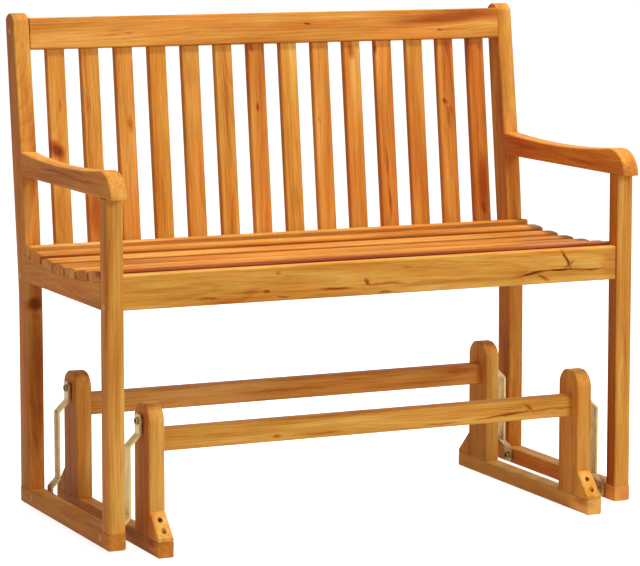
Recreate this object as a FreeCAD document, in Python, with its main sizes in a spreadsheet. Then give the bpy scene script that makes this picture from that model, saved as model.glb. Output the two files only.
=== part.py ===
import FreeCAD, Part
import Sketcher
import os
import re

# A two-seat glider bench in millimetres. X runs from left to right, Y from front to back and Z up
# from the floor. A standing base carries the seat frame on four steel links, so that the seat
# glides fore and aft. Most pieces are drawn for the right side and mirrored to the left.

sizes = {
    # overall, and the space between the base and the side frames where the links hang
    "bench_width": 1020,
    "side_thick": 31,
    "base_thick": 28.7,
    "link_space": 46.4,
    # pivots of the links
    "front_pivot": -200.1,
    "pivot_spacing": 360.4,
    "floor_gap": 12.1,
    "pivot_rise": 16.4,
    "link_length": 198.5,
    # standing base
    "foot_height": 28.4,
    "foot_lead": 74.65,
    "foot_tail": 77,
    "base_post_depth": 71,
    "base_post_crown": 30.5,
    "crown_round": 30,
    "gusset_height": 46,
    "gusset_toe": 6,
    "screw_bore": 8.5,
    "screw_rise": 32,
    "screw_lead": 28.5,
    "screw_wall": 7,
    "stretcher_height": 38.5,
    "front_stretcher_drop": 15.5,
    "rear_stretcher_drop": 12,
    # side frames: leg, runner and rear post
    "leg_lead": 42.65,
    "leg_depth": 32,
    "runner_height": 30.2,
    "runner_tail": 57,
    "runner_chamfer": 4,
    "post_depth": 45,
    "post_height": 907,
    "post_crown": 12,
    "shoulder_round": 7,
    "front_bend_height": 300,
    "front_bend_radius": 2500,
    "rear_bend_height": 340,
    "rear_bend_radius": 1000,
    "back_rake": 6.6,
    "post_taper": 1.5,
    # armrests, measured from the flat underside
    "arm_height": 615.3,
    "arm_front_rise": 46.2,
    "arm_waist_rise": 35.7,
    "arm_rear_rise": 44.3,
    "arm_nose": 50,
    "arm_flat": 8,
    "arm_overhang": 21,
    # seat rails and slats
    "seat_low": 474.5,
    "rail_drop": 50,
    "rail_height": 60.5,
    "apron_thick": 22,
    "apron_setback": 5,
    "rear_rail_thick": 25,
    "bearer_thick": 28,
    "dish_radius": 1305,
    "slat_follow": 0.5,
    "slat_set": 2.9,
    "slat_crown": 2.6,
    "seat_slat_thick": 15,
    "seat_slat_gap": 7,
    "rear_slat_width": 20,
    "rear_slat_rise": 3,
    "slat_room": 1.5,
    # back
    "top_rail_underside": 842,
    "top_rail_height": 57.5,
    "top_rail_thick": 28,
    "back_slat_width": 35,
    "back_slat_thick": 15,
    "back_slat_inset": 5,
    # links, bolts and spacers
    "strap_width": 22,
    "strap_thick": 4,
    "strap_run": 26,
    "strap_bend": 6,
    "strap_end": 12.5,
    "upper_plate_drop": 23,
    "lower_plate_rise": 17.8,
    "bolt_diameter": 8,
    "bolt_fit": 0.05,
    "bolt_bite": 22,
    "head_diameter": 13,
    "head_height": 3,
    "spacer_diameter": 18,
    "spacer_thick": 3.9,
    "side_play": 0.3,
    "plug_diameter": 12,
    "plug_depth": 6,
    # eased edges
    "frame_chamfer": 2,
    "back_slat_chamfer": 2,
    "seat_slat_chamfer": 2,
}
seat_slat_count = 7
back_slat_count = 14
spacer_sides = 16

# positions that follow from the sizes
lines = {
    "side_inner": "bench_width / 2 - side_thick",
    "base_outer": "side_inner - link_space",
    "base_inner": "base_outer - base_thick",
    "rear_pivot": "front_pivot + pivot_spacing",
    "lower_pivot": "floor_gap + pivot_rise",
    "upper_pivot": "lower_pivot + link_length",
    "leg_front": "front_pivot - leg_lead",
    "leg_back": "leg_front + leg_depth",
    "runner_top": "floor_gap + runner_height",
    "runner_end": "rear_pivot + runner_tail",
    "post_front": "runner_end - post_depth",
    "front_rake": "back_rake + post_taper",
    "front_bend_y": "post_front + front_bend_radius * (1 - cos(front_rake))",
    "front_bend_z": "front_bend_height + front_bend_radius * sin(front_rake)",
    "rear_bend_y": "runner_end + rear_bend_radius * (1 - cos(back_rake))",
    "rear_bend_z": "rear_bend_height + rear_bend_radius * sin(back_rake)",
    "post_shoulder": "post_height - post_crown",
    "shoulder_front": "front_bend_y + (post_shoulder - front_bend_z) * tan(front_rake)",
    "shoulder_back": "rear_bend_y + (post_shoulder - rear_bend_z) * tan(back_rake)",
    "rail_underside": "seat_low - rail_drop",
    "rail_top": "rail_underside + rail_height",
    "top_rail_front": "front_bend_y + (top_rail_underside - front_bend_z) * tan(front_rake)",
    "slat_head_y": "top_rail_front + back_slat_inset * cos(back_rake)",
    "slat_head_z": "top_rail_underside - back_slat_inset * sin(back_rake)",
    "slat_foot_y": "slat_head_y - (slat_head_z - rail_top) * tan(back_rake)",
    "slat_foot_depth": "back_slat_thick / cos(back_rake)",
    "rear_rail_front": "slat_foot_y + slat_foot_depth / 2 - rear_rail_thick / 2",
    "apron_front": "leg_front + apron_setback",
    "apron_back": "apron_front + apron_thick",
    "seat_bend_angle": "asin((rail_top - front_bend_height) / front_bend_radius)",
    "post_front_at_seat": "post_front + front_bend_radius * (1 - cos(seat_bend_angle))",
    "seat_front": "leg_back + 2 * slat_room",
    "seat_rear": "post_front_at_seat - 2 * slat_room",
    "seat_middle": "(seat_front + seat_rear) / 2",
    "slat_pitch": "(seat_rear - seat_front - rear_slat_width) / %d" % (seat_slat_count - 1),
    "seat_slat_width": "slat_pitch - seat_slat_gap",
    "dish_centre": "seat_low + dish_radius",
    "plate_out": "spacer_thick + side_play + strap_thick / 2",
    "lower_plate_out": "link_space - plate_out",
}

doc = FreeCAD.newDocument("GliderBench")
sheet = doc.addObject("Spreadsheet::Sheet", "Sizes")
for row, (name, number) in enumerate(sizes.items(), start=1):
    sheet.set("A%d" % row, name)
    sheet.set("B%d" % row, str(number))
    sheet.setAlias("B%d" % row, name)
doc.recompute()


# a formula in plain names becomes one in the cells of the sheet
def formula(text):
    def cell(match):
        word = match.group()
        if word in lines:
            return "(" + formula(lines[word]) + ")"
        return "Sizes." + word if word in sizes else word

    return re.sub("[a-z][a-z_]*", cell, str(text))


def value(text):
    result = sheet.evalExpression(formula(text))
    return float(getattr(result, "Value", result))


def plane(body, role):
    return next(item for item in body.Origin.OriginFeatures if item.Role == role)


def newSketch(body, name, role, offset="0"):
    sketch = body.newObject("Sketcher::SketchObject", name)
    sketch.AttachmentSupport = [(plane(body, role), "")]
    sketch.MapMode = "FlatFace"
    sketch.setExpression("AttachmentOffset.Base.z", formula(offset))
    return sketch


def pin(sketch, item, end, point):
    for kind, text in (("DistanceX", point[0]), ("DistanceY", point[1])):
        index = sketch.addConstraint(Sketcher.Constraint(kind, -1, 1, item, end, value(text)))
        sketch.setExpression("Constraints[%d]" % index, formula(text))


def vector(point):
    return FreeCAD.Vector(value(point[0]), value(point[1]), 0)


# lines through the corners; where a bulge is given, an arc through that point instead of a line
def draw(sketch, corners, bulges=None, closed=True):
    bulges = bulges or {}
    count = len(corners) if closed else len(corners) - 1
    for index in range(count):
        start = vector(corners[index])
        finish = vector(corners[(index + 1) % len(corners)])
        if index in bulges:
            sketch.addGeometry(Part.Arc(start, vector(bulges[index]), finish))
        else:
            sketch.addGeometry(Part.LineSegment(start, finish))
    for index in range(count):
        # an arc that turns clockwise is held the other way round
        first, last = 1, 2
        if (sketch.getPoint(index, 1) - vector(corners[index])).Length > 0.001:
            first, last = 2, 1
        pin(sketch, index, first, corners[index])
        pin(sketch, index, last, corners[(index + 1) % len(corners)])
        if index in bulges:
            point = sketch.addGeometry(Part.Point(vector(bulges[index])), True)
            pin(sketch, point, 1, bulges[index])
            sketch.addConstraint(Sketcher.Constraint("PointOnObject", point, 1, index))


def newBody(label, place=("0", "0", "0")):
    body = doc.addObject("PartDesign::Body", label)
    body.Label = label
    for axis, text in zip("xyz", place):
        body.setExpression("Placement.Base." + axis, formula(text))
    return body


def padded(body, sketch, length):
    pad = body.newObject("PartDesign::Pad", "Pad")
    pad.Profile = sketch
    pad.setExpression("Length", formula(length))
    doc.recompute()


# the edges that pass the test are worked, all others stay sharp
def eased(body, kind, amount, wanted):
    base = body.Tip
    names = []
    for index, edge in enumerate(base.Shape.Edges, start=1):
        if wanted(edge):
            names.append("Edge%d" % index)
    worked = body.newObject("PartDesign::" + kind, kind)
    worked.Base = (base, names)
    worked.setExpression("Radius" if kind == "Fillet" else "Size", formula(amount))
    body.Tip = worked
    doc.recompute()


def rounded(body, radius, wanted):
    eased(body, "Fillet", radius, wanted)


def chamfered(body, size, wanted):
    eased(body, "Chamfer", size, wanted)


def runsAlong(axis):
    def wanted(edge):
        tangent = edge.tangentAt((edge.FirstParameter + edge.LastParameter) / 2)
        return abs(getattr(tangent, axis)) > 0.99

    return wanted


# the edges round both side faces of a piece, above a height
def rimAbove(height):
    def wanted(edge):
        return not runsAlong("x")(edge) and edge.CenterOfMass.z > value(height) + 1

    return wanted


# round holes from a plane into the piece: to a depth, or right out of it where none is given
def bored(body, role, offset, centres, diameter, depth=None, backwards=False):
    before = body.Tip.Shape.Volume
    sketch = newSketch(body, "Bores", role, offset)
    for index, centre in enumerate(centres):
        sketch.addGeometry(Part.Circle(vector(centre), FreeCAD.Vector(0, 0, 1), value(diameter) / 2))
        pin(sketch, index, 3, centre)
        size = sketch.addConstraint(Sketcher.Constraint("Diameter", index, value(diameter)))
        sketch.setExpression("Constraints[%d]" % size, formula(diameter))
    pocket = body.newObject("PartDesign::Pocket", "Pocket")
    pocket.Profile = sketch
    pocket.Reversed = backwards
    if depth:
        pocket.setExpression("Length", formula(depth))
    else:
        pocket.Type = "ThroughAll"
    doc.recompute()
    if pocket.Shape.Volume >= before:
        raise ValueError("the bores of " + body.Label + " cut nothing")


def upright(edge):
    return abs(edge.tangentAt(edge.FirstParameter).z) > 0.9


def slanted(edge):
    tangent = edge.tangentAt(edge.FirstParameter)
    return abs(tangent.y) > 0.3 and abs(tangent.z) > 0.3


# a straight board from its low corner, padded along X or Z, with its long edges chamfered
def board(label, corner, size, along):
    body = newBody(label, corner)
    if along == "x":
        sketch = newSketch(body, "Section", "YZ_Plane")
        draw(sketch, [("0", "0"), (size[1], "0"), (size[1], size[2]), ("0", size[2])])
        padded(body, sketch, size[0])
    else:
        sketch = newSketch(body, "Section", "XY_Plane")
        draw(sketch, [("0", "0"), (size[0], "0"), (size[0], size[1]), ("0", size[1])])
        padded(body, sketch, size[2])
    chamfered(body, "frame_chamfer", runsAlong(along))
    return body


# a piece with a side outline in Y and Z, padded along X
def profiled(label, inner, thick, corners, bulges=None):
    body = newBody(label, (inner, "0", "0"))
    sketch = newSketch(body, "Outline", "YZ_Plane")
    draw(sketch, corners, bulges)
    padded(body, sketch, thick)
    return body


# a piece turned about X, drawn as a half section of distance along X and radius
def turned(label, place, corners):
    body = newBody(label, place)
    sketch = newSketch(body, "HalfSection", "XY_Plane")
    draw(sketch, corners)
    turn = body.newObject("PartDesign::Revolution", "Turn")
    turn.Profile = sketch
    turn.ReferenceAxis = (sketch, ["H_Axis"])
    turn.Angle = 360
    doc.recompute()
    return body


bolt_bore = "bolt_diameter + 2 * bolt_fit"
nodes = []


def keep(*pieces):
    nodes.extend(pieces)


def mirrored(source, label):
    other = doc.addObject("Part::Mirroring", label)
    other.Label = label
    other.Source = source
    other.Normal = FreeCAD.Vector(1, 0, 0)
    return other


def keepPair(right):
    keep(mirrored(right, right.Label.replace("_right", "_left")), right)


def grouped(label, pieces):
    group = doc.addObject("Part::Compound", label)
    group.Label = label
    group.Links = pieces
    keep(group)


# one piece cut to the shape of another, as where it meets the curved rear post
def fitted(blank, other, label):
    joint = doc.addObject("Part::Cut", label)
    joint.Label = label
    joint.Base = blank
    joint.Tool = other
    doc.recompute()
    return joint


# standing base: foot rails, rounded posts, sloped gussets and two stretchers
foot_front = "front_pivot - foot_lead"
foot_rear = "rear_pivot + foot_tail"
foot = profiled("base_foot_right", "base_inner", "base_thick", [
    (foot_front, "0"), (foot_rear, "0"), (foot_rear, "foot_height"), (foot_front, "foot_height")])
chamfered(foot, "frame_chamfer", runsAlong("y"))
keepPair(foot)

crown_top = "upper_pivot + base_post_crown"
spring = crown_top + " - crown_round"
for end, pivot in (("front", "front_pivot"), ("rear", "rear_pivot")):
    front = pivot + " - base_post_depth / 2"
    back = pivot + " + base_post_depth / 2"
    post = profiled("base_post_%s_right" % end, "base_inner", "base_thick", [
        (front, "foot_height"), (back, "foot_height"), (back, spring), (back + " - crown_round", crown_top),
        (front + " + crown_round", crown_top), (front, spring)], {
        2: (back + " - crown_round * (1 - cos(45))", spring + " + crown_round * sin(45)"),
        4: (front + " + crown_round * (1 - cos(45))", spring + " + crown_round * sin(45)")
    })
    chamfered(post, "frame_chamfer", rimAbove("foot_height"))
    bored(post, "YZ_Plane", "base_thick", [(pivot, "upper_pivot")], bolt_bore, "bolt_bite + 1")
    keepPair(post)

    near, far = (front, foot_front) if end == "front" else (back, foot_rear)
    gusset = profiled("gusset_%s_right" % end, "base_inner", "base_thick", [
        (near, "foot_height"), (near, "foot_height + gusset_height"),
        (far, "foot_height + gusset_toe"), (far, "foot_height")])
    chamfered(gusset, "frame_chamfer", slanted)
    # two counterbores in the slope: one level, towards the post, and one plumb, towards the foot
    out = "-" if end == "front" else "+"
    wall = "-(%s %s screw_wall)" % (near, out)
    bored(gusset, "XZ_Plane", wall, [("base_thick / 2", "foot_height + screw_rise")], "screw_bore",
          backwards=end == "front")
    bored(gusset, "XY_Plane", "foot_height + screw_wall", [("base_thick / 2", near + out + "screw_lead")],
          "screw_bore", backwards=True)
    keepPair(gusset)

    underside = "upper_pivot - %s_stretcher_drop - stretcher_height" % end
    keep(board("base_stretcher_" + end, ("-base_inner", pivot + " - base_thick / 2", underside),
               ("2 * base_inner", "base_thick", "stretcher_height"), "x"))

# side frames: the rear post leans back above two gentle bends, its crown is rounded
post = profiled("rear_post_right", "side_inner", "side_thick", [
    ("post_front", "runner_top"), ("runner_end", "runner_top"), ("runner_end", "rear_bend_height"),
    ("rear_bend_y", "rear_bend_z"), ("shoulder_back", "post_shoulder"),
    ("shoulder_front", "post_shoulder"), ("front_bend_y", "front_bend_z"),
    ("post_front", "front_bend_height")], {
    2: ("runner_end + rear_bend_radius * (1 - cos(back_rake / 2))",
        "rear_bend_height + rear_bend_radius * sin(back_rake / 2)"),
    4: ("(shoulder_front + shoulder_back) / 2", "post_height"),
    6: ("post_front + front_bend_radius * (1 - cos(front_rake / 2))",
        "front_bend_height + front_bend_radius * sin(front_rake / 2)")
})


def shoulders(edge):
    return runsAlong("x")(edge) and edge.CenterOfMass.z > value("post_shoulder") - 1


rounded(post, "shoulder_round", shoulders)
chamfered(post, "frame_chamfer", rimAbove("runner_top"))
keepPair(post)

leg = board("front_leg_right", ("side_inner", "leg_front", "runner_top"),
            ("side_thick", "leg_depth", "arm_height - runner_top"), "z")
keepPair(leg)

runner = profiled("runner_right", "side_inner", "side_thick", [
    ("leg_front + runner_chamfer", "floor_gap"), ("runner_end - runner_chamfer", "floor_gap"),
    ("runner_end", "floor_gap + runner_chamfer"), ("runner_end", "runner_top"),
    ("leg_front", "runner_top"), ("leg_front", "floor_gap + runner_chamfer")])
chamfered(runner, "frame_chamfer", runsAlong("y"))
pivots = [("front_pivot", "lower_pivot"), ("rear_pivot", "lower_pivot")]
bored(runner, "YZ_Plane", "side_thick", pivots, bolt_bore, "side_thick")
bored(runner, "YZ_Plane", "side_thick", pivots, "plug_diameter + 2 * bolt_fit", "plug_depth")
keepPair(runner)

# armrests: a shallow dip along the top and a long rounded nose ahead of the leg
arm_front = "leg_front - arm_overhang"
arm_back = "post_front + post_depth"
arm_crest = "arm_height + arm_front_rise"
dip_front = arm_front + " + arm_nose + arm_flat"
arm = profiled("armrest_blank", "side_inner", "side_thick", [
    (arm_back, "arm_height"), (arm_back, "arm_height + arm_rear_rise"), (dip_front, arm_crest),
    (arm_front + " + arm_nose", arm_crest), (arm_front, "arm_height")], {
    1: ("(post_front + " + dip_front + ") / 2", "arm_height + arm_waist_rise"),
    3: (arm_front + " + arm_nose * (1 - cos(45))", "arm_height + arm_front_rise * sin(45)")})


def aheadOfPost(edge):
    return not runsAlong("x")(edge) and edge.CenterOfMass.y < value("post_front")


chamfered(arm, "frame_chamfer", aheadOfPost)
keepPair(fitted(arm, post, "armrest_right"))


# a seat slat's front edge, width, middle, height of its top edges at the middle and tilt; it takes
# up only part of the dish's slope, so its front edge stands proud of the slat before it
def seatSlat(number):
    width = "rear_slat_width" if number == seat_slat_count - 1 else "seat_slat_width"
    start = "(seat_front + %d * slat_pitch)" % number
    middle = "(%s + %s / 2)" % (start, width)
    slope = "asin((%s - seat_middle) / dish_radius)" % middle
    top = "dish_centre - dish_radius * cos(%s)" % slope
    return start, width, middle, top, "(%s * slat_follow - slat_set * 1 deg)" % slope


# height of the bed under a slat, at a place from front to back
def bed(number, place):
    start, width, middle, top, tilt = seatSlat(number)
    return "%s - seat_slat_thick / cos(%s) + (%s - %s) * tan(%s)" % (top, tilt, place, middle, tilt)


# seat rails: the tops of the side rails and of the bearer are stepped to bed each slat
def stepped(label, inner, thick, front, back):
    corners = [(back, bed(seat_slat_count - 1, back))]
    for number in range(seat_slat_count - 1, 0, -1):
        step = seatSlat(number)[0] + " - seat_slat_gap / 2"
        corners += [(step, bed(number, step)), (step, bed(number - 1, step))]
    corners.append((front, bed(0, front)))
    return profiled(label, inner, thick, [(front, "rail_underside"), (back, "rail_underside")] + corners)


rail = stepped("side_rail_blank", "side_inner", "side_thick", "leg_back", "post_front + post_depth / 2")
keepPair(fitted(rail, post, "seat_side_rail_right"))
keep(stepped("seat_centre_bearer", "-bearer_thick / 2", "bearer_thick", "apron_back", "rear_rail_front"))
keep(board("front_apron", ("-side_inner", "apron_front", "rail_underside"),
           ("2 * side_inner", "apron_thick", "rail_height"), "x"))
keep(board("rear_seat_rail", ("-side_inner", "rear_rail_front", "rail_underside"),
           ("2 * side_inner", "rear_rail_thick", "rail_height"), "x"))

# seat slats from side to side, crowned on top; the last one is narrow, thicker and ends before the posts
for number in range(seat_slat_count):
    start, width, middle, top, tilt = seatSlat(number)
    slat = newBody("seat_slat_%d" % (number + 1), ("-bench_width / 2", middle, top))
    slat.Placement.Rotation = FreeCAD.Rotation(FreeCAD.Vector(1, 0, 0), 1)
    slat.setExpression("Placement.Rotation.Angle", formula(tilt))
    sketch = newSketch(slat, "Section", "YZ_Plane")
    half = width + " / 2"
    last = number == seat_slat_count - 1
    edge, crown = ("rear_slat_rise", "slat_crown / 5") if last else ("0", "slat_crown")
    draw(sketch, [
        ("-" + half, "-seat_slat_thick"), (half, "-seat_slat_thick"), (half, edge), ("-" + half, edge)],
        {2: ("0", edge + " + " + crown)})
    padded(slat, sketch, "bench_width")
    chamfered(slat, "seat_slat_chamfer", runsAlong("x"))
    keep(slat)

# back: a raked top rail and upright slats from the rear seat rail to its underside
rail = newBody("top_rail", ("-side_inner", "top_rail_front", "top_rail_underside"))
rail.Placement.Rotation = FreeCAD.Rotation(FreeCAD.Vector(1, 0, 0), -1)
rail.setExpression("Placement.Rotation.Angle", formula("-back_rake"))
sketch = newSketch(rail, "Section", "YZ_Plane")
draw(sketch, [
    ("0", "0"), ("top_rail_thick", "0"), ("top_rail_thick", "top_rail_height"), ("0", "top_rail_height")])
padded(rail, sketch, "2 * side_inner")
chamfered(rail, "frame_chamfer", runsAlong("x"))
keep(rail)

slat_gap = "(2 * side_inner - %d * back_slat_width) / %d" % (back_slat_count, back_slat_count + 1)
for number in range(back_slat_count):
    left = "-side_inner + " + slat_gap + " + %d * (back_slat_width + " % number + slat_gap + ")"
    slat = profiled("back_slat_%02d" % (number + 1), left, "back_slat_width", [
        ("slat_foot_y", "rail_top"), ("slat_foot_y + slat_foot_depth", "rail_top"),
        ("slat_head_y + back_slat_thick * cos(back_rake)",
         "slat_head_z - back_slat_thick * sin(back_rake)"),
        ("slat_head_y", "slat_head_z")])
    chamfered(slat, "back_slat_chamfer", upright)
    keep(slat)

# links: a flat strap set out twice, so that it clears the post above and the runner below
def link(label, pivot):
    body = newBody(label, ("base_outer", pivot, "upper_pivot"))
    path = newSketch(body, "Path", "XZ_Plane")
    turn = "strap_bend * tan(45 / 2)"
    aside = turn + " * cos(45)"
    step = "(strap_run - plate_out)"
    drop = "(lower_plate_out - strap_run)"
    upper = "-upper_plate_drop"
    lower = "(lower_plate_rise - link_length)"
    corners = [("plate_out", "strap_end")]
    bulges = {}
    bends = [
        (("plate_out", upper), 0, 1), (("strap_run", upper + " - " + step), 1, 0),
        (("strap_run", lower + " + " + drop), 0, 1), (("lower_plate_out", lower), 1, 0)]
    for (across, height), slanted_before, slanted_after in bends:
        before = (across + " - " + aside if slanted_before else across,
                  height + " + " + (aside if slanted_before else turn))
        after = (across + " + " + aside if slanted_after else across,
                 height + " - " + (aside if slanted_after else turn))
        sign = "-" if slanted_before else "+"
        bow = "strap_bend * (1 / cos(45 / 2) - 1)"
        bulges[len(corners)] = (across + " " + sign + " " + bow + " * cos(45 / 2)",
                                height + " " + sign + " " + bow + " * sin(45 / 2)")
        corners += [before, after]
    corners.append(("lower_plate_out", "-link_length - strap_end"))
    draw(path, corners, bulges, closed=False)
    section = newSketch(body, "Section", "XY_Plane", "strap_end")
    half = ("strap_thick / 2", "strap_width / 2")
    draw(section, [
        ("plate_out - " + half[0], "-" + half[1]), ("plate_out + " + half[0], "-" + half[1]),
        ("plate_out + " + half[0], half[1]), ("plate_out - " + half[0], half[1])])
    doc.recompute()
    pipe = body.newObject("PartDesign::AdditivePipe", "Strap")
    pipe.Profile = section
    pipe.Spine = (path, [])
    doc.recompute()
    ends = (value("strap_end"), value("-link_length - strap_end"))

    def atEnds(edge):
        return runsAlong("x")(edge) and min(abs(edge.CenterOfMass.z - place) for place in ends) < 0.1

    rounded(body, "strap_width / 2 - 0.5", atEnds)
    bored(body, "YZ_Plane", "link_space", [("0", "0"), ("0", "-link_length")], bolt_bore, "link_space")
    return body


# one disc of a spacer, many-sided, standing along X
def disc(label, place, radius):
    prism = doc.addObject("Part::Prism", label)
    prism.Polygon = spacer_sides
    prism.setExpression("Circumradius", formula(radius))
    prism.setExpression("Height", formula("spacer_thick"))
    prism.Placement.Rotation = FreeCAD.Rotation(FreeCAD.Vector(0, 1, 0), 90)
    for axis, text in zip("xyz", place):
        prism.setExpression("Placement.Base." + axis, formula(text))
    return prism


def spacerRing(label, place):
    rim = disc(label + "_rim", place, "spacer_diameter / 2")
    bore = disc(label + "_bore", place, "(bolt_diameter / 2 + bolt_fit) / cos(180 / %d)" % spacer_sides)
    return fitted(rim, bore, label)


bolt_sets = {"upper": [], "lower": []}
spacer_sets = {"upper": [], "lower": []}
for end, pivot in (("front", "front_pivot"), ("rear", "rear_pivot")):
    keepPair(link("link_%s_right" % end, pivot))
    # the upper bolt screws into the post from outside, the lower one into the runner from inside
    for level, face, way, bite in (
            ("upper", "base_outer", "", "bolt_bite"),
            ("lower", "side_inner", "-", "(side_thick - plug_depth - 1)")):
        seat = "(spacer_thick + strap_thick + 2 * side_play)"
        outer = seat + " + head_height"
        bolt = turned("%s_bolt_%s" % (level, end), (face, pivot, level + "_pivot"), [
            (way + "(-" + bite + ")", "0"), (way + "(" + outer + ")", "0"),
            (way + "(" + outer + ")", "head_diameter / 2"), (way + "(" + seat + ")", "head_diameter / 2"),
            (way + "(" + seat + ")", "bolt_diameter / 2"), (way + "(-" + bite + ")", "bolt_diameter / 2")])
        inward = "" if level == "upper" else " - spacer_thick"
        spacer = spacerRing("%s_spacer_%s" % (level, end), (face + inward, pivot, level + "_pivot"))
        bolt_sets[level] += [bolt, mirrored(bolt, bolt.Label + "_left")]
        spacer_sets[level] += [spacer, mirrored(spacer, spacer.Label + "_left")]
for level in ("upper", "lower"):
    grouped(level + "_pivot_bolts", bolt_sets[level])
    grouped(level + "_pivot_spacers", spacer_sets[level])

# light wood plugs close the bores in the runners
plugs = []
for end, pivot in (("front", "front_pivot"), ("rear", "rear_pivot")):
    plug = turned("plug_" + end, ("bench_width / 2 - plug_depth", pivot, "lower_pivot"), [
        ("0", "0"), ("plug_depth", "0"), ("plug_depth", "plug_diameter / 2"), ("0", "plug_diameter / 2")])
    plugs += [plug, mirrored(plug, plug.Label + "_left")]
grouped("frame_plugs", plugs)

doc.recompute()
for item in doc.Objects:
    if "Invalid" in item.State or "Error" in item.State:
        raise RuntimeError(item.Label + " failed: " + str(item.State))
for node in nodes:
    if node.Shape.isNull() or not node.Shape.isValid():
        raise RuntimeError(node.Label + " has no valid shape")

os.makedirs("parts", exist_ok=True)
for node in nodes:
    node.Shape.exportStep("parts/" + node.Label + ".step")
    print(node.Label, len(node.Shape.Solids), round(node.Shape.Volume))
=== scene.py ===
import math
import random

import bpy
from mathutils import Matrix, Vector


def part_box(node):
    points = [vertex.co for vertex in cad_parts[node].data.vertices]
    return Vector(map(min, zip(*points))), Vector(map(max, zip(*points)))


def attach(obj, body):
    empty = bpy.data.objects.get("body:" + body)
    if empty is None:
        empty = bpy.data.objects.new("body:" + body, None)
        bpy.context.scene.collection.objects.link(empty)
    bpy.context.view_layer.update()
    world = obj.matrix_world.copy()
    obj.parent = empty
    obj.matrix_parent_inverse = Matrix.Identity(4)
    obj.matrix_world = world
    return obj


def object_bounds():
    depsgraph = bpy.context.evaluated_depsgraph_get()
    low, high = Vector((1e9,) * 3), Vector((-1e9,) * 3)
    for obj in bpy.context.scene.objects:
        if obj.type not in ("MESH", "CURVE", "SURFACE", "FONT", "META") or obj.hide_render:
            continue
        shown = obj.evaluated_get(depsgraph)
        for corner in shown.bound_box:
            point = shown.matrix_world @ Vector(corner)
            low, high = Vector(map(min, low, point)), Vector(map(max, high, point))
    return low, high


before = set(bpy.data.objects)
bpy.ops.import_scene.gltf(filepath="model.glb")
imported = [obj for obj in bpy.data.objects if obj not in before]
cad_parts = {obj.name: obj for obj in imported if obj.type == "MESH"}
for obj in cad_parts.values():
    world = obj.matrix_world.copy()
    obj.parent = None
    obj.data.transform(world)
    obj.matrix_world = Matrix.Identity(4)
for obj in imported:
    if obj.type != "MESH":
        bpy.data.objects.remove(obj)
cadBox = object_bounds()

# glider bench: the frame gives every board, link and bolt; this file gives them their oiled
# acacia and plated steel, adds the small screws and cover plugs, and sets the studio and camera


def say(stage):
    print("glider bench:", stage)


# material nodes: a new material, a new node, a socket fed by a link or a plain value, and a sum
def newMaterial(name):
    material = bpy.data.materials.new(name)
    material.use_nodes = True
    return material, material.node_tree


def addNode(tree, kind, **settings):
    node = tree.nodes.new(kind)
    for key, value in settings.items():
        setattr(node, key, value)
    return node


def feed(tree, target, source):
    if isinstance(source, bpy.types.NodeSocket):
        tree.links.new(source, target)
    else:
        target.default_value = source


def calc(tree, operation, first, second=None, third=None, clamp=False):
    node = addNode(tree, "ShaderNodeMath", operation=operation, use_clamp=clamp)
    for socket, value in zip(node.inputs, (first, second, third)):
        if value is not None:
            feed(tree, socket, value)
    return node.outputs[0]


def mixColours(tree, factor, first, second, mode="MIX"):
    node = addNode(tree, "ShaderNodeMix", data_type="RGBA", blend_type=mode)
    for socket, value in zip((node.inputs[0], node.inputs[6], node.inputs[7]), (factor, first, second)):
        feed(tree, socket, value)
    return node.outputs[2]


# a colour multiplied by another one, as far as the share says
def stained(tree, colour, share, by):
    return mixColours(tree, share, colour, (*by, 1) if isinstance(by, tuple) else by, "MULTIPLY")


# a ramp of greys or colours, each with its place from 0 to 1
def ramp(tree, source, stops, smooth="LINEAR"):
    node = addNode(tree, "ShaderNodeValToRGB")
    node.color_ramp.interpolation = smooth
    elements = node.color_ramp.elements
    while len(elements) < len(stops):
        elements.new(0.5)
    for element, (place, colour) in zip(elements, stops):
        element.position = place
        element.color = (*colour, 1) if isinstance(colour, tuple) else (colour, colour, colour, 1)
    tree.links.new(source, node.inputs[0])
    return node.outputs[0]


# a vector scaled, turned by degrees and moved, or the other way round with the kind TEXTURE
def mapped(tree, vector, place=(0, 0, 0), turn=(0, 0, 0), scale=(1, 1, 1), kind="POINT"):
    node = addNode(tree, "ShaderNodeMapping", vector_type=kind)
    tree.links.new(vector, node.inputs["Vector"])
    node.inputs["Location"].default_value = place
    node.inputs["Rotation"].default_value = [math.radians(angle) for angle in turn]
    node.inputs["Scale"].default_value = scale
    return node.outputs[0]


def splitAxes(tree, vector):
    node = addNode(tree, "ShaderNodeSeparateXYZ")
    tree.links.new(vector, node.inputs[0])
    return list(node.outputs)


# noise drawn out along the grain: across and along are in waves per metre
def grainNoise(tree, board, axis, across, along, detail=2, rough=0.5, output=0):
    stretch = [across, across, across]
    stretch[axis] = along
    node = addNode(tree, "ShaderNodeTexNoise")
    tree.links.new(mapped(tree, board, scale=stretch), node.inputs["Vector"])
    node.inputs["Scale"].default_value = 1.0
    node.inputs["Detail"].default_value = detail
    node.inputs["Roughness"].default_value = rough
    return node.outputs[output]


# how far a face looks along an axis, from 0 to 1
def facing(tree, axis, sharpness=6.0):
    look = splitAxes(tree, addNode(tree, "ShaderNodeTexCoord").outputs["Normal"])
    return calc(tree, "POWER", calc(tree, "ABSOLUTE", look[axis]), sharpness)


# a fine relief in the surface, on top of the normal that is given
def relief(tree, shader, height, strength, depth, normal=None):
    bump = addNode(tree, "ShaderNodeBump")
    bump.inputs["Strength"].default_value = strength
    bump.inputs["Distance"].default_value = depth
    tree.links.new(height, bump.inputs["Height"])
    if normal:
        tree.links.new(normal, bump.inputs["Normal"])
    tree.links.new(bump.outputs[0], shader.inputs["Normal"])


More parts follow.
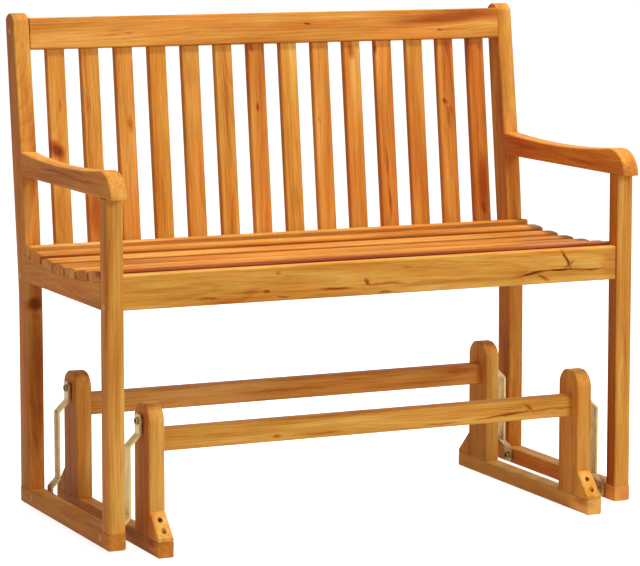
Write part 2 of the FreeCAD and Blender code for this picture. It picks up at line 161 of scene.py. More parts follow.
acacia = {
    # the grain from the palest early wood to the darkest, each with its place on the ramp
    "pale": (0.0, (0.86, 0.50, 0.148)),
    "honey": (0.36, (0.70, 0.327, 0.059)),
    "amber": (0.66, (0.55, 0.210, 0.030)),
    "brown": (1.0, (0.31, 0.094, 0.015)),
    # colours that these are multiplied by: red or gold boards, blushes in the grain, end grain,
    # painted shade on the sides of upright and fore-and-aft boards, and painted shade on the faces along
    # one axis
    "red": (1.0, 0.76, 0.66),
    "gold": (0.95, 1.10, 0.66),
    "blush": (0.95, 0.70, 0.54),
    "ends": (0.96, 0.90, 0.84),
    "flankShade": (1.06, 0.84, 0.58),
    "shadedFaces": (0.62, 0.42, 0.30),
    # tone and tint of a board that has none of its own are drawn between these
    "tone": (0.4, 0.5),
    "tint": (-0.1, 0.2),
    # the noises of the grain, how much three of them change the tone, and how dark the pores are
    "bands": {"across": 34, "along": 2.6, "detail": 3, "rough": 0.55},
    "streaks": {"across": 150, "along": 4.5, "detail": 3, "rough": 0.6},
    "clouds": {"across": 14, "along": 5.0},
    "fibres": {"across": 900, "along": 16, "rough": 0.6},
    "sways": {"across": 11, "along": 3.0, "rough": 0.45},
    "blushes": {"across": 46, "along": 4.0},
    "ripples": {"across": 75, "along": 16, "detail": 3, "rough": 0.6},
    "bandShare": 1.05,
    "streakShare": 0.62,
    "cloudShare": 0.35,
    "poreShare": 0.8,
    # what the noises and marks give, as ramps of greys or colours
    "poreRamp": [(0.28, 0.55), (0.46, 0.95), (0.8, 1.0)],
    "blushRamp": [(0.44, 0.0), (0.66, 0.72)],
    "markRamp": [(0.0, (1, 1, 1)), (0.5, (0.70, 0.42, 0.36)), (0.95, (0.24, 0.085, 0.07))],
    # growth rings: how many to a metre and how that varies, the way from early to late wood, how
    # much late wood darkens the tone, and in metres how far their heart is and how far they sway
    "ringsPerMetre": 210,
    "ringVariety": (0.7, 1.25),
    "ringRamp": [(0.0, 0.0), (0.5, 0.25), (0.86, 1.0), (1.0, 0.0)],
    "ringShare": 0.26,
    "heart": (0.012, 0.06),
    "ringSway": 0.034,
    # degrees that the grain may run off a board's edges, and how far apart boards lie in the tree
    "skew": 1.2,
    "apart": 5,
    # marks: how far their outline wanders, how far they draw the rings in, and where they fade out
    "wander": 0.011,
    "pull": 0.8,
    "pullWidth": 0.009,
    "fade": 1.5,
    # the surface: open pores and rings in relief, and edges that look worn round
    "gloss": 0.06,
    "roughness": 0.52,
    "roughnessSwing": 0.22,
    "relief": 0.5,
    "poreDepth": 0.00022,
    "ringDepth": 0.3,
    "edgeRound": 0.0022,
    "edgeSamples": 4,
}


# distance from the heart of the tree, which the rings lie round, beside or behind the board
def heartDistance(tree, board, axis, rng):
    away = []
    across = splitAxes(tree, board)
    across.pop(axis)
    for place in across:
        offset = calc(tree, "ADD", place, rng.uniform(*acacia["heart"]) * rng.choice((-1, 1)))
        away.append(calc(tree, "MULTIPLY", offset, offset))
    return calc(tree, "SQRT", calc(tree, "ADD", *away))


# knots, dark streaks and patches of painted shade, ovals that go twice as deep as they are wide.
# each draws the rings in round it, and the darkest gives the shade
def marked(tree, coords, board, grain, radius, marks):
    axis = "xyz".index(grain)
    ripple = grainNoise(tree, board, axis, output=1, **acacia["ripples"])
    moved = addNode(tree, "ShaderNodeVectorMath", operation="MULTIPLY_ADD")
    tree.links.new(ripple, moved.inputs[0])
    moved.inputs[1].default_value = [acacia["wander"]] * 3
    tree.links.new(mapped(tree, coords, place=[-acacia["wander"] / 2] * 3), moved.inputs[2])
    shade = None
    for place, long, wide, turn, dark in marks:
        size = [wide / 2] * 3
        size[axis] = long / 2
        size[0 if grain == "y" else 1] = wide
        turned = (turn, 0, 0) if grain == "y" else (0, turn, 0)
        length = addNode(tree, "ShaderNodeVectorMath", operation="LENGTH")
        tree.links.new(mapped(tree, moved.outputs[0], place, turned, size, "TEXTURE"), length.inputs[0])
        near = length.outputs["Value"]
        spread = calc(tree, "MULTIPLY_ADD", near, near, 1.0)
        pull = calc(tree, "DIVIDE", min(wide, acacia["pullWidth"]) * acacia["pull"], spread)
        radius = calc(tree, "ADD", radius, pull)
        core = calc(tree, "MULTIPLY", calc(tree, "SUBTRACT", acacia["fade"], near, clamp=True), dark)
        shade = core if shade is None else calc(tree, "MAXIMUM", shade, core)
    return radius, shade


# the grain from pale to brown: the noises swing round the board's tone, and late wood darkens it
def grainColour(tree, tone, band, streak, cloud, lateWood):
    level = tone - (acacia["bandShare"] + acacia["streakShare"] + acacia["cloudShare"]) / 2
    for noise, share in ((band, "bandShare"), (streak, "streakShare"), (cloud, "cloudShare")):
        level = calc(tree, "MULTIPLY_ADD", noise, acacia[share], level)
    dim = calc(tree, "MULTIPLY", band, acacia["ringShare"])
    level = calc(tree, "MULTIPLY_ADD", lateWood, dim, level, clamp=True)
    return ramp(tree, level, [acacia[shade] for shade in ("pale", "honey", "amber", "brown")])


# end grain differs in colour from the rest of the board, and painted shade darkens the sides and the
# faces along one axis
def facedColour(tree, colour, grain, ends, shadedFaces):
    colour = stained(tree, colour, facing(tree, "xyz".index(grain)), ends)
    # painted shade: sides that look along X are made darker and redder
    if grain != "x":
        colour = stained(tree, colour, facing(tree, 0), acacia["flankShade"])
    if shadedFaces:
        axis, darker = shadedFaces
        colour = stained(tree, colour, calc(tree, "MULTIPLY", facing(tree, axis), darker), acacia["shadedFaces"])
    return colour


# the oiled surface: fibres and late wood stand out, and the edges are worn round
def oiled(tree, shader, fibre, lateWood):
    swing = acacia["roughnessSwing"]
    rough = calc(tree, "MULTIPLY_ADD", fibre, -swing, acacia["roughness"] + swing / 2)
    tree.links.new(rough, shader.inputs["Roughness"])
    shader.inputs["Specular IOR Level"].default_value = acacia["gloss"]
    worn = addNode(tree, "ShaderNodeBevel", samples=acacia["edgeSamples"])
    worn.inputs["Radius"].default_value = acacia["edgeRound"]
    height = calc(tree, "MULTIPLY_ADD", lateWood, acacia["ringDepth"], fibre)
    relief(tree, shader, height, acacia["relief"], acacia["poreDepth"], worn.outputs[0])


# one board's wood. grain is the axis it runs along, lean tips it back with the posts, tone goes
# from pale to dark and tint from gold to red. marks are knots, dark streaks and patches of painted
# shade: place, length and width in metres, turn on the board's face in degrees, and darkness. ends is
# the shade of the end grain, a painted light where it is above 1, and the last argument names an axis
# and how much painted shade darkens the faces that look along it
def acaciaMaterial(name, centre, grain, seed, tone=0.5, tint=0.0, lean=0.0, marks=(),
                   ends=acacia["ends"], shadedFaces=None):
    rng = random.Random(seed)
    material, tree = newMaterial(name)
    shader = tree.nodes["Principled BSDF"]
    axis = "xyz".index(grain)
    coords = addNode(tree, "ShaderNodeTexCoord").outputs["Object"]
    middle = mapped(tree, coords, place=[-value for value in centre])
    upright = mapped(tree, middle, turn=(lean, 0, 0))
    skew = [rng.uniform(-acacia["skew"], acacia["skew"]) for _ in range(3)]
    skew[axis] = 0
    place = [rng.uniform(-acacia["apart"], acacia["apart"]) for _ in range(3)]
    board = mapped(tree, upright, place=place, turn=skew)
    band, streak, cloud, fibre, sway, blush = [
        grainNoise(tree, board, axis, **acacia[kind])
        for kind in ("bands", "streaks", "clouds", "fibres", "sways", "blushes")]

    radius = heartDistance(tree, mapped(tree, upright, turn=skew), axis, rng)
    radius = calc(tree, "MULTIPLY_ADD", sway, acacia["ringSway"], radius)
    shade = None
    if marks:
        radius, shade = marked(tree, coords, board, grain, radius, marks)
    ringsPerMetre = acacia["ringsPerMetre"] * rng.uniform(*acacia["ringVariety"])
    rings = calc(tree, "FRACT", calc(tree, "MULTIPLY", radius, ringsPerMetre))
    lateWood = ramp(tree, rings, acacia["ringRamp"], "EASE")

    colour = grainColour(tree, tone, band, streak, cloud, lateWood)
    colour = stained(tree, colour, acacia["poreShare"], ramp(tree, fibre, acacia["poreRamp"]))
    if tint:
        colour = stained(tree, colour, abs(tint), acacia["red" if tint > 0 else "gold"])
    colour = stained(tree, colour, ramp(tree, blush, acacia["blushRamp"]), acacia["blush"])
    colour = facedColour(tree, colour, grain, ends, shadedFaces)
    if shade is not None:
        colour = stained(tree, colour, 1.0, ramp(tree, shade, acacia["markRamp"]))
    tree.links.new(colour, shader.inputs["Base Color"])
    oiled(tree, shader, fibre, lateWood)
    return material


steel = {
    "metallic": 0.6,
    "gloss": 0.12,
    "linkColour": (0.60, 0.44, 0.165),
    "linkRoughness": 0.34,
    "boltColour": (0.42, 0.31, 0.15),
    "boltRoughness": 0.36,
    "spacerColour": (0.25, 0.16, 0.075),
    "spacerRoughness": 0.40,
    "screwColour": (0.13, 0.055, 0.018),
    "screwMetallic": 0.05,
    # the plating is cloudy, from dull to bright, each with its place on the ramp and its share of
    # the colour, and it is finely brushed
    "clouds": {"across": 70, "along": 45, "detail": 3},
    "dull": (0.3, 0.74),
    "bright": (0.7, 1.12),
    "brush": {"across": 1500, "along": 40},
    "roughnessSwing": 0.2,
    "relief": 0.25,
    "brushDepth": 0.00006,
    # hexagon sockets of the bolts, coloured near black as a painted shade of their recess
    "headRadius": 0.0065,
    "socketWide": 0.0092,
    "socketShade": (0.025, 0.016, 0.008),
    "socketRoughness": 0.7,
}


# 1 in the hexagon socket of each pivot bolt of a row, 0 elsewhere. the bolts of a row stand at one
# height, two in front of the middle and two behind it, and their heads reach the ends of its box
def sockets(tree, coords, row):
    low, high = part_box(row)
    middle = (low[1] + high[1]) / 2
    fromMiddleToBolt = (high[1] - low[1]) / 2 - steel["headRadius"]
    _, depth, height = splitAxes(tree, coords)
    folded = calc(tree, "ABSOLUTE", calc(tree, "SUBTRACT", depth, middle))
    across = calc(tree, "ABSOLUTE", calc(tree, "SUBTRACT", folded, fromMiddleToBolt))
    up = calc(tree, "ABSOLUTE", calc(tree, "SUBTRACT", height, (low[2] + high[2]) / 2))
    slant = math.radians(60)
    upPart = calc(tree, "MULTIPLY", up, math.cos(slant))
    slanted = calc(tree, "ADD", upPart, calc(tree, "MULTIPLY", across, math.sin(slant)))
    return calc(tree, "LESS_THAN", calc(tree, "MAXIMUM", up, slanted), steel["socketWide"] / 2)


# yellow-zinc plating, brushed along one axis. row names the pivot bolts that get hexagon sockets painted
# dark, a painted shade of their recess
def platedMaterial(name, colour, roughness, brushed="x", row=None, metallic=steel["metallic"]):
    material, tree = newMaterial(name)
    shader = tree.nodes["Principled BSDF"]
    axis = "xyz".index(brushed)
    coords = addNode(tree, "ShaderNodeTexCoord").outputs["Object"]
    brush = grainNoise(tree, coords, axis, **steel["brush"])
    shades = []
    for place, share in (steel["dull"], steel["bright"]):
        shades.append((place, tuple(min(1, channel * share) for channel in colour)))
    plating = ramp(tree, grainNoise(tree, coords, axis, **steel["clouds"]), shades)
    swing = steel["roughnessSwing"]
    rough = calc(tree, "MULTIPLY_ADD", brush, swing, roughness - swing / 2)
    if row:
        hexagon = sockets(tree, coords, row)
        # painted shade: the socket is coloured near black for the shade in its recess
        plating = mixColours(tree, hexagon, plating, (*steel["socketShade"], 1))
        rough = calc(tree, "MAXIMUM", rough, calc(tree, "MULTIPLY", hexagon, steel["socketRoughness"]))
    shader.inputs["Metallic"].default_value = metallic
    shader.inputs["Specular IOR Level"].default_value = steel["gloss"]
    tree.links.new(plating, shader.inputs["Base Color"])
    tree.links.new(rough, shader.inputs["Roughness"])
    relief(tree, shader, brush, steel["relief"], steel["brushDepth"])
    return material


def dress(piece, material):
    piece.data.materials.clear()
    piece.data.materials.append(material)


# degrees that the back leans, and the rear posts on the whole
backLean = 6.6
postLean = 4.5

# what each kind of board is like: its grain, how far it leans, and how light and how red it may be
boardKinds = {
    "back_slat": {"grain": "z", "lean": backLean},
    # seat slats: painted shade on their front and back faces, and painted light on their lighter ends
    "seat_slat": {"grain": "x", "tone": (0.44, 0.54), "tint": (0.0, 0.25), "shadedFaces": (1, 0.75),
                  "ends": (1.18, 1.08, 0.95)},
    "top_rail": {"grain": "x", "lean": backLean},
    "front_apron": {"grain": "x"},
    "rear_seat_rail": {"grain": "x", "tone": (0.5, 0.5), "tint": (0.2, 0.2)},
    "base_stretcher": {"grain": "x", "tone": (0.42, 0.42)},
    "seat_centre_bearer": {"grain": "y", "tone": (0.5, 0.5)},
    "seat_side_rail": {"grain": "y", "tone": (0.45, 0.5)},
    "armrest": {"grain": "y", "tone": (0.42, 0.46)},
    "runner": {"grain": "y", "tone": (0.42, 0.46), "ends": (0.88, 0.70, 0.56)},
    "base_foot": {"grain": "y", "tone": (0.40, 0.46), "ends": (0.92, 0.80, 0.70)},
    "gusset": {"grain": "z", "tone": (0.28, 0.34), "tint": (-0.2, -0.1)},
    "base_post": {"grain": "z", "tone": (0.32, 0.36), "tint": (-0.1, 0.1)},
    "front_leg": {"grain": "z", "tone": (0.40, 0.46)},
    "rear_post": {"grain": "z", "lean": postLean, "tone": (0.42, 0.46)},
}

# boards with a look of their own
ownLooks = {
    "front_apron": {"tone": 0.36, "tint": -0.25, "marks": [
        ((0.376, -0.238, 0.467), 0.036, 0.0050, 58, 0.90),
        ((0.382, -0.238, 0.457), 0.020, 0.0040, -36, 0.70),
        ((0.307, -0.238, 0.444), 0.056, 0.0045, -8, 0.90),
        ((0.364, -0.238, 0.448), 0.072, 0.0035, 0, 0.95),
        ((0.427, -0.238, 0.446), 0.071, 0.0030, 0, 0.80),
        ((0.329, -0.238, 0.436), 0.025, 0.0060, 25, 0.55),
        ((0.008, -0.238, 0.443), 0.088, 0.0040, 1, 0.60),
        ((-0.021, -0.238, 0.448), 0.015, 0.0070, 49, 0.75),
        ((-0.082, -0.238, 0.439), 0.054, 0.0050, 0, 0.70),
        ((0.014, -0.238, 0.429), 0.022, 0.0040, -1, 0.70),
        ((-0.216, -0.238, 0.442), 0.013, 0.0060, 3, 0.75),
        ((-0.239, -0.238, 0.442), 0.032, 0.0030, 0, 0.50),
        ((-0.181, -0.238, 0.431), 0.023, 0.0030, 3, 0.70),
        ((-0.326, -0.238, 0.435), 0.033, 0.0030, 0, 0.60),
        ((-0.192, -0.238, 0.474), 0.010, 0.0060, 14, 0.35),
        ((0.055, -0.238, 0.469), 0.018, 0.0050, -3, 0.35),
        ((0.111, -0.238, 0.440), 0.139, 0.0080, -1, 0.30),
        # painted shade: a soft dark patch at the right end, where the leg shades the apron
        ((0.472, -0.238, 0.455), 0.040, 0.0400, 0, 0.32),
    ]},
    "top_rail": {"tone": 0.45, "tint": 0.0, "marks": [
        ((0.074, 0.229, 0.876), 0.015, 0.0040, 1, 0.95),
        ((0.351, 0.227, 0.861), 0.013, 0.0050, 1, 0.70),
        ((0.372, 0.230, 0.883), 0.209, 0.0220, -4, 0.66),
        ((0.295, 0.229, 0.879), 0.054, 0.0060, 9, 0.45),
        ((0.437, 0.230, 0.888), 0.070, 0.0070, -5, 0.50),
        ((0.375, 0.227, 0.861), 0.087, 0.0050, 0, 0.35),
        ((-0.288, 0.228, 0.867), 0.014, 0.0060, 1, 0.25),
    ]},
    "base_stretcher_front": {"tone": 0.36, "tint": -0.2, "marks": [
        ((0.316, -0.214, 0.195), 0.025, 0.0060, 41, 0.60),
        ((0.267, -0.214, 0.186), 0.105, 0.0040, -4, 0.80),
        ((0.362, -0.214, 0.189), 0.095, 0.0030, -2, 0.55),
        ((-0.185, -0.214, 0.182), 0.015, 0.0060, -2, 0.60),
        ((0.134, -0.214, 0.180), 0.060, 0.0040, -1, 0.50),
        ((-0.097, -0.214, 0.182), 0.087, 0.0050, 1, 0.35),
    ]},
    "base_stretcher_rear": {"tone": 0.24, "tint": 0.5, "marks": [
        ((0.354, 0.146, 0.206), 0.078, 0.0140, 0, 0.40),
        ((0.000, 0.146, 0.195), 0.165, 0.0060, 0, 0.30),
    ]},
    # painted shade darkens the faces of this post that look along X
    "base_post_front_left": {"tone": 0.33, "tint": 0.0, "shadedFaces": (0, 0.25)},
    # painted shade darkens the faces of this post that look along X
    "rear_post_left": {"tone": 0.44, "tint": 0.0, "shadedFaces": (0, 0.35), "marks": [
        ((-0.494, 0.172, 0.383), 0.026, 0.0300, -8, 0.85),
        ((-0.494, 0.172, 0.230), 0.420, 0.0300, 0, 0.42),
        ((-0.499, 0.172, 0.271), 0.129, 0.0100, 1, 0.30),
    ]},
    "rear_post_right": {"tone": 0.54, "tint": 0.0, "marks": [
        ((0.487, 0.172, 0.585), 0.160, 0.0180, 0, 0.14),
        ((0.493, 0.172, 0.572), 0.049, 0.0050, 2, 0.50),
    ]},
    "front_leg_left": {"tone": 0.36, "tint": -0.05, "marks": [
        ((-0.495, -0.243, 0.330), 0.180, 0.0160, 0, 0.22),
    ]},
    # painted shade darkens the faces of this leg that look along X
    "front_leg_right": {"tone": 0.43, "tint": 0.0, "shadedFaces": (0, 0.7), "marks": [
        ((0.498, -0.243, 0.250), 0.200, 0.0100, 0, 0.22),
    ]},
    "armrest_left": {"tone": 0.44, "marks": [
        ((-0.510, -0.000, 0.640), 0.183, 0.0050, 0, 0.50),
        ((-0.510, -0.120, 0.637), 0.190, 0.0040, 0, 0.50),
        ((-0.510, -0.116, 0.648), 0.100, 0.0040, -1, 0.40),
    ]},
    "armrest_right": {"tone": 0.46, "tint": 0.25, "marks": [
        ((0.479, 0.113, 0.639), 0.121, 0.0080, 3, 0.30),
        ((0.479, -0.082, 0.631), 0.190, 0.0070, 3, 0.30),
    ]},
    "base_foot_left": {"tone": 0.46, "tint": 0.2, "marks": [
        ((-0.433, -0.244, 0.020), 0.033, 0.0100, 0, 0.60),
    ]},
    "base_foot_right": {"tone": -0.10, "tint": -0.15, "marks": [
        ((0.404, -0.252, 0.021), 0.045, 0.0120, 0, 0.45),
    ]},
    "runner_right": {"tone": -0.30, "tint": 0.4},
    # painted shade: the front slat is darkened along its front edge, over all its length, where the gap
    # in front of it lies in shade
    "seat_slat_1": {"tone": 0.46, "marks": [((0.0, -0.203, 0.487), 3.0, 0.0170, 0, 0.78)]},
    "seat_slat_2": {"tone": 0.60, "tint": 0.3},
    "seat_slat_3": {"tone": 0.48, "tint": 0.0},
    "seat_slat_4": {"tone": 0.59, "tint": 0.3},
    "seat_slat_5": {"tone": 0.49, "tint": 0.0},
    "seat_slat_6": {"tone": 0.53, "tint": 0.15},
    # painted shade darkens the front and back faces of this slat
    "seat_slat_7": {"tone": 0.42, "tint": 0.0, "shadedFaces": (1, 0.35)},
}

# tone, tint and marks of each back slat, from the left
backSlatLooks = [
    (0.36, -0.2, [
        ((-0.437, 0.208, 0.658), 0.035, 0.0200, -31, 0.85),
        ((-0.427, 0.217, 0.738), 0.022, 0.0040, 3, 0.30),
        ((-0.430, 0.194, 0.540), 0.100, 0.0300, 0, 0.25),
    ]),
    (0.42, 0.0, [
        ((-0.373, 0.217, 0.741), 0.032, 0.0120, -8, 0.25),
        ((-0.366, 0.194, 0.537), 0.092, 0.0300, -1, 0.50),
    ]),
    (0.44, 0.15, [
        ((-0.291, 0.212, 0.698), 0.028, 0.0090, -1, 0.45),
        ((-0.281, 0.224, 0.794), 0.046, 0.0080, 1, 0.25),
    ]),
    (0.36, -0.4, [
        ((-0.254, 0.197, 0.562), 0.124, 0.0070, -3, 0.40),
        ((-0.259, 0.222, 0.780), 0.074, 0.0060, 0, 0.30),
    ]),
    (0.42, 0.0, [((-0.173, 0.223, 0.787), 0.056, 0.0100, -5, 0.20)]),
    (0.40, -0.15, []),
    (0.46, 0.2, [
        ((-0.035, 0.215, 0.722), 0.013, 0.0070, -6, 0.75),
        ((-0.058, 0.220, 0.765), 0.131, 0.0140, -1, 0.35),
        ((-0.043, 0.228, 0.834), 0.015, 0.0080, -12, 0.50),
        ((-0.056, 0.193, 0.532), 0.075, 0.0080, -2, 0.40),
    ]),
    (0.36, -0.3, [((0.047, 0.200, 0.593), 0.170, 0.0120, 2, 0.15)]),
    (0.46, 0.15, [((0.090, 0.212, 0.695), 0.009, 0.0060, -26, 0.30)]),
    (0.46, 0.2, [
        ((0.164, 0.227, 0.825), 0.031, 0.0120, -5, 0.60),
        ((0.134, 0.199, 0.580), 0.076, 0.0060, 0, 0.40),
    ]),
    (0.50, 0.45, [
        ((0.213, 0.228, 0.829), 0.020, 0.0090, -16, 0.70),
        ((0.207, 0.220, 0.759), 0.061, 0.0050, -1, 0.35),
        ((0.229, 0.202, 0.604), 0.058, 0.0050, -3, 0.50),
        ((0.231, 0.194, 0.541), 0.090, 0.0040, -2, 0.65),
    ]),
    (0.46, 0.2, [((0.273, 0.192, 0.524), 0.062, 0.0050, -1, 0.40)]),
    (0.50, 0.45, [
        ((0.336, 0.223, 0.790), 0.093, 0.0100, -2, 0.45),
        ((0.358, 0.215, 0.722), 0.013, 0.0090, -27, 0.80),
        ((0.366, 0.211, 0.689), 0.047, 0.0050, -2, 0.30),
        ((0.369, 0.227, 0.824), 0.030, 0.0090, -10, 0.40),
    ]),
    (0.67, 0.6, [
        ((0.432, 0.197, 0.562), 0.126, 0.0160, 0, 0.50),
        ((0.432, 0.191, 0.515), 0.028, 0.0100, -6, 0.70),
        ((0.407, 0.217, 0.742), 0.116, 0.0060, 1, 0.20),
        ((0.438, 0.227, 0.826), 0.016, 0.0080, -13, 0.30),
    ]),
]

linkSteel = platedMaterial("linkSteel", steel["linkColour"], steel["linkRoughness"], "z")
spacerSteel = platedMaterial("spacerSteel", steel["spacerColour"], steel["spacerRoughness"])
upperBoltSteel = platedMaterial(
    "upperBoltSteel", steel["boltColour"], steel["boltRoughness"], row="upper_pivot_bolts")
lowerBoltSteel = platedMaterial(
    "lowerBoltSteel", steel["boltColour"], steel["boltRoughness"], row="lower_pivot_bolts")
screwSteel = platedMaterial(
    "screwSteel", steel["screwColour"], steel["spacerRoughness"], metallic=steel["screwMetallic"])
plugWood = acaciaMaterial("plugWood", (0, 0, 0), "x", seed=71, tone=0.04)


# a board's look: what its kind gives, with a tone and tint drawn for it, and what it has of its own
def boardLook(name, kind):
    look = dict(boardKinds[kind])
    rng = random.Random(name)
    for shade in ("tone", "tint"):
        look[shade] = rng.uniform(*look.get(shade, acacia[shade]))
    look.update(ownLooks.get(name, {}))
    if kind == "back_slat":
        look["tone"], look["tint"], look["marks"] = backSlatLooks[int(name[-2:]) - 1]
    return look


# each board grows from a seed of its own
seeds = {"first": 5, "step": 17}
for number, (name, node) in enumerate(sorted(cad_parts.items())):
    kind = next((kind for kind in boardKinds if name.startswith(kind)), None)
    if kind:
        low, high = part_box(name)
        centre = (low + high) / 2
        seed = seeds["first"] + number * seeds["step"]
        dress(node, acaciaMaterial("acacia_" + name, centre, seed=seed, **boardLook(name, kind)))
    elif name.startswith("link"):
        dress(node, linkSteel)
    elif name.endswith("spacers"):
        dress(node, spacerSteel)
    elif name.endswith("bolts"):
        dress(node, upperBoltSteel if name.startswith("upper") else lowerBoltSteel)
    else:
        dress(node, plugWood)
say("wood and steel on %d nodes" % len(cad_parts))


# a small round piece is made standing on Z with its head up, then laid where it belongs
def roundBlank(name, radius, depth, sides):
    bpy.ops.object.select_all(action="DESELECT")
    middle = (0, 0, -depth / 2)
    bpy.ops.mesh.primitive_cylinder_add(vertices=sides, radius=radius, depth=depth, location=middle)
    bpy.ops.object.transform_apply(location=True, rotation=False, scale=False)
    blank = bpy.context.object
    blank.name = name
    return blank


# selects the topmost faces, in edit mode
def pickTop(piece, slack=0.00001):
    bpy.ops.object.mode_set(mode="OBJECT")
    top = max(face.center.z for face in piece.data.polygons)
    for face in piece.data.polygons:
        face.select = face.center.z > top - slack
    bpy.ops.object.mode_set(mode="EDIT")


# turn and sharpFrom are in degrees. faces that meet at less than sharpFrom are shaded smooth
def laidDown(piece, place, turn, sharpFrom=35):
    piece.location = place
    piece.rotation_euler = [math.radians(angle) for angle in turn]
    bpy.ops.object.select_all(action="DESELECT")
    piece.select_set(True)
    bpy.context.view_layer.objects.active = piece
    bpy.ops.object.transform_apply(location=True, rotation=True, scale=True)
    bpy.ops.object.shade_smooth_by_angle(angle=math.radians(sharpFrom))


gussetScrew = {
    "headRadius": 0.0039,
    "headHeight": 0.0026,
    "sides": 24,
    "rim": 0.0007,
    "rimRise": 0.0004,
    "crownRise": 0.0003,
    "recessRadius": 0.0017,
    "recessDepth": 0.0014,
    # a level bore's height above the foot rail, a plumb bore's distance from the post, and the
    # wood that is left under a head
    "levelRise": 0.032,
    "plumbLead": 0.0285,
    "wall": 0.007,
}


def screwHead(name):
    screw = roundBlank(name, gussetScrew["headRadius"], gussetScrew["headHeight"], gussetScrew["sides"])
    crown = gussetScrew["headRadius"] - gussetScrew["rim"] - gussetScrew["recessRadius"]
    bpy.ops.object.mode_set(mode="EDIT")
    bpy.ops.mesh.select_mode(type="FACE")
    pickTop(screw)
    bpy.ops.mesh.inset(thickness=gussetScrew["rim"], depth=gussetScrew["rimRise"])
    bpy.ops.mesh.inset(thickness=crown, depth=gussetScrew["crownRise"])
    bpy.ops.mesh.inset(thickness=0, depth=-gussetScrew["recessDepth"])
    bpy.ops.object.mode_set(mode="OBJECT")
    dress(screw, screwSteel)
    return screw


# where a screw head lies and how it is turned, on the floor of its gusset's level or plumb bore
def boreFloor(bore, end, side):
    low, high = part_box("gusset_%s_%s" % (end, side))
    post, away = (high[1], -1) if end == "front" else (low[1], 1)
    middle = (low[0] + high[0]) / 2
    top = gussetScrew["wall"] + gussetScrew["headHeight"]
    if bore == "level":
        return (middle, post + away * top, low[2] + gussetScrew["levelRise"]), (-90 * away, 0, 0)
    return (middle, post + away * gussetScrew["plumbLead"], low[2] + top), (0, 0, 0)


for side in ("left", "right"):
    for bore in ("level", "plumb"):
        for end in ("front", "rear"):
            screw = screwHead("gussetScrew_%s_%s_%s" % (bore, end, side))
            laidDown(screw, *boreFloor(bore, end, side))
            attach(screw, "base")
say("gusset screws in")


coverPlug = {
    "radius": 0.006,
    "depth": 0.003,
    "sides": 32,
    "rim": 0.0006,
    "proud": 0.0002,
    # where the bolts of the rails are covered, in Y and Z
    "places": {"topRail": (0.2510, 0.8750), "rearRail": (0.2090, 0.4320), "apron": (-0.2270, 0.4310)},
}
for side, way, outerFace in (("left", -1, cadBox[0][0]), ("right", 1, cadBox[1][0])):
    for label, (y, z) in coverPlug["places"].items():
        name = "coverPlug_%s_%s" % (label, side)
        plug = roundBlank(name, coverPlug["radius"], coverPlug["depth"], coverPlug["sides"])
        bpy.ops.object.mode_set(mode="EDIT")
        bpy.ops.mesh.select_mode(type="FACE")
        pickTop(plug)
        bpy.ops.mesh.inset(thickness=coverPlug["rim"], depth=coverPlug["proud"])
        bpy.ops.object.mode_set(mode="OBJECT")
        dress(plug, plugWood)
        laidDown(plug, (outerFace, y, z), (0, way * 90, 0))
        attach(plug, "seat")
say("cover plugs in")


studio = {
    "floorSize": 60.0,
    "floorShade": 0.70,
    "floorGlow": 0.86,
    "ambient": 0.39,
    # the point that the lamps shine at
    "target": (0, 0, 0.4),
    "keyPlace": (2.3, -4.9, 3.1),
    "keySize": 2.4,
    "keyWatts": 145.0,
    # small and steep, for the shadow of the top rail on the slats
    "topPlace": (0.3, -0.44, 4.0),
    "topSize": 0.4,
    "topWatts": 121.0,
}


# 1 for the rays that reach the camera straight, off a mirror or through glass
def seenRays(tree):
    path = addNode(tree, "ShaderNodeLightPath")
    mirror = calc(tree, "MAXIMUM", path.outputs["Is Glossy Ray"], path.outputs["Is Transmission Ray"])
    return calc(tree, "MAXIMUM", path.outputs["Is Camera Ray"], mirror)


# one look for all other rays, and one for the rays that are seen
def seenAs(tree, plain, seen):
    choice = addNode(tree, "ShaderNodeMixShader")
    for socket, source in zip(choice.inputs, (seenRays(tree), plain.outputs[0], seen.outputs[0])):
        tree.links.new(source, socket)
    return choice.outputs[0]


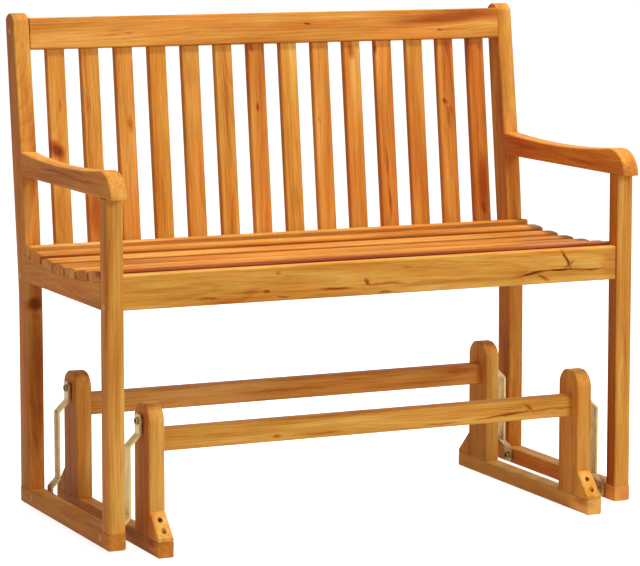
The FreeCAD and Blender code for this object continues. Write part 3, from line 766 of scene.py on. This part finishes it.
# to the camera the floor is white with a faint shadow; to the bench it is a pale matt floor
def floorMaterial():
    material, tree = newMaterial("paleFloor")
    tree.nodes.clear()
    out = addNode(tree, "ShaderNodeOutputMaterial")
    matt = addNode(tree, "ShaderNodeBsdfDiffuse")
    matt.inputs[0].default_value = (*[studio["floorShade"]] * 3, 1)
    dark = addNode(tree, "ShaderNodeEmission")
    dark.inputs[0].default_value = (0, 0, 0, 1)
    glow = addNode(tree, "ShaderNodeEmission")
    glow.inputs[0].default_value = (*[studio["floorGlow"]] * 3, 1)
    both = addNode(tree, "ShaderNodeAddShader")
    tree.links.new(matt.outputs[0], both.inputs[0])
    tree.links.new(seenAs(tree, dark, glow), both.inputs[1])
    tree.links.new(both.outputs[0], out.inputs[0])
    return material


# the backdrop is white, but lights the bench only softly
def studioWorld():
    world = bpy.data.worlds.new("studioWorld")
    world.use_nodes = True
    tree = world.node_tree
    tree.nodes.clear()
    out = addNode(tree, "ShaderNodeOutputWorld")
    softLight = addNode(tree, "ShaderNodeBackground")
    softLight.inputs[1].default_value = studio["ambient"]
    backdrop = addNode(tree, "ShaderNodeBackground")
    for background in (softLight, backdrop):
        background.inputs[0].default_value = (1, 1, 1, 1)
    tree.links.new(seenAs(tree, softLight, backdrop), out.inputs[0])
    return world


def softbox(lampName):
    place = studio[lampName + "Place"]
    bpy.ops.object.light_add(type="AREA", location=place)
    lamp = bpy.context.object
    lamp.name = lampName + "Softbox"
    lamp.data.shape = "DISK"
    lamp.data.size = studio[lampName + "Size"]
    lamp.data.energy = studio[lampName + "Watts"]
    lamp.rotation_euler = (Vector(studio["target"]) - Vector(place)).to_track_quat("-Z", "Y").to_euler()


bpy.ops.mesh.primitive_plane_add(size=studio["floorSize"], location=(0, 0, 0))
floor = bpy.context.object
floor.name = "studioFloor"
floor.data.materials.append(floorMaterial())
bpy.context.scene.world = studioWorld()
softbox("key")
softbox("top")
say("studio lit")


# the photograph's viewing angle: lens and sensor in millimetres, place and reach in metres, and
# degrees to the right of straight ahead and down
view = {
    "lens": 168.60,
    "sensor": 36,
    "place": (-2.2554, -4.9404, 1.1662),
    "yaw": 24.493,
    "pitch": 6.652,
    "shift": -0.1,
    "reach": 100,
}
bpy.ops.object.camera_add(location=view["place"])
camera = bpy.context.object
camera.name = "photoCamera"
camera.data.lens = view["lens"]
camera.data.sensor_width = view["sensor"]
camera.data.shift_y = view["shift"]
camera.data.clip_end = view["reach"]
camera.rotation_euler = (math.radians(90 - view["pitch"]), 0, math.radians(-view["yaw"]))
bpy.context.scene.camera = camera
bpy.context.scene.view_settings.view_transform = "Standard"

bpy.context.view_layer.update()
say("done")
